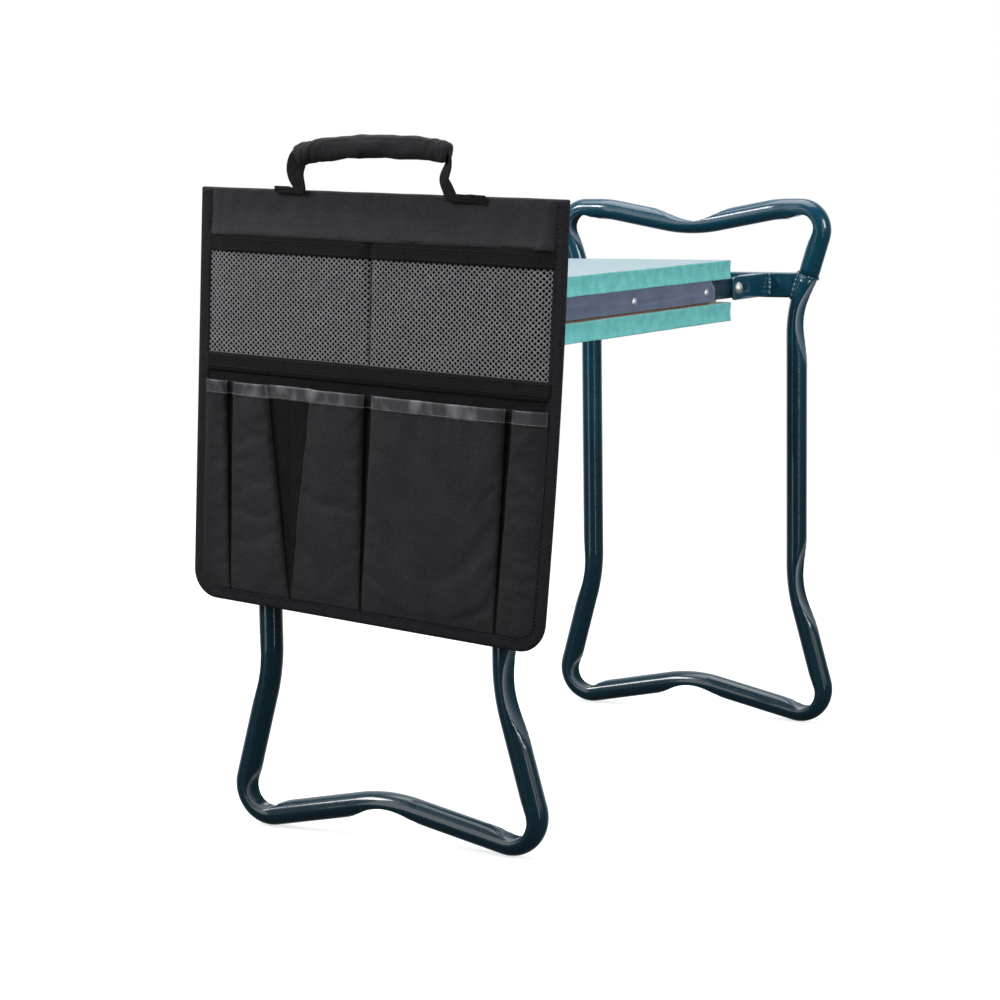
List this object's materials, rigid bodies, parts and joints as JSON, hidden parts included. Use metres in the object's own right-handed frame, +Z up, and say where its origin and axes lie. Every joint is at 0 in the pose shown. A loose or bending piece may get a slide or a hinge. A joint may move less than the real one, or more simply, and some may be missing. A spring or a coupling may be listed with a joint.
{
  "type": "garden kneeler seat",
  "caption": "Folding garden seat that turns over into a kneeler: foam-padded deck, two fold-in tube frames with hand rails, and a hanging tool pouch.",
  "frame": {"origin": "bottom centre of the whole object's bounding box, on the floor", "axes": "+X along the seat towards the frame without the pouch, +Y across it, +Z up"},
  "size_m": [0.5913, 0.3408, 0.5519],
  "materials": {
    "foam": "matte",
    "hardboard": "matte",
    "rail_paint": "gloss",
    "nylon": "satin",
    "zinc_steel": "satin",
    "frame_paint": "gloss",
    "stiffener": "matte",
    "mesh": "matte",
    "webbing": "matte",
    "ribbon": "satin",
    "oxford_cloth": "matte"
  },
  "bodies": {
    "seat": {"upper_foam_pad": "foam", "lower_foam_pad": "foam", "upper_deck_board": "hardboard", "lower_deck_board": "hardboard", "front_side_rail": "rail_paint", "rear_side_rail": "rail_paint", "cross_brace_near": "rail_paint", "cross_brace_middle": "rail_paint", "cross_brace_far": "rail_paint", "rail_rivets": "zinc_steel", "board_rivets": "zinc_steel", "pivot_bolts": "zinc_steel", "pivot_spacer_washers": "nylon", "pivot_nut_washers": "zinc_steel", "pivot_locknuts": "zinc_steel"},
    "near_leg": {"near_leg_tube": "frame_paint", "near_handle_tube": "frame_paint", "near_joint_sleeves": "zinc_steel", "near_crossbar": "frame_paint", "near_front_ear": "frame_paint", "near_rear_ear": "frame_paint"},
    "far_leg": {"far_leg_tube": "frame_paint", "far_handle_tube": "frame_paint", "far_joint_sleeves": "zinc_steel", "far_crossbar": "frame_paint", "far_front_ear": "frame_paint", "far_rear_ear": "frame_paint"},
    "pouch": {"pouch_back_panel": "oxford_cloth", "pouch_stiffener_board": "stiffener", "pouch_front_panel": "oxford_cloth", "pouch_top_band": "oxford_cloth", "pouch_edge_binding": "webbing", "mesh_pocket_front": "mesh", "mesh_pocket_walls": "oxford_cloth", "mesh_top_hem": "webbing", "mesh_bottom_hem": "webbing", "tool_pocket_front": "oxford_cloth", "tool_pocket_walls": "oxford_cloth", "tool_pocket_ribbon": "ribbon", "carry_handle_tabs": "webbing", "rear_hanging_strap": "webbing", "front_hanging_strap": "webbing"},
    "carry_handle": {"carry_webbing": "webbing", "carry_grip": "oxford_cloth"}
  },
  "joints": [
    {"name": "near_leg_fold", "type": "hinge", "parent": "seat", "child": "near_leg", "pos_m": [-0.23335, 0.00057, 0.41113], "axis": [0, -1, 0], "range_deg": [0, 90]},
    {"name": "far_leg_fold", "type": "hinge", "parent": "seat", "child": "far_leg", "pos_m": [0.21415, 0.00057, 0.41113], "axis": [0, 1, 0], "range_deg": [0, 90]},
    {"name": "pouch_swing", "type": "hinge", "parent": "near_leg", "child": "pouch", "pos_m": [-0.27185, 0.00057, 0.47763], "axis": [0, 1, 0], "range_deg": [0, 85]},
    {"name": "carry_handle_flop", "type": "hinge", "parent": "pouch", "child": "carry_handle", "pos_m": [-0.28915, -0.00681, 0.50938], "axis": [0, 0.9984, 0.0558], "range_deg": [-70, 70]}
  ]
}
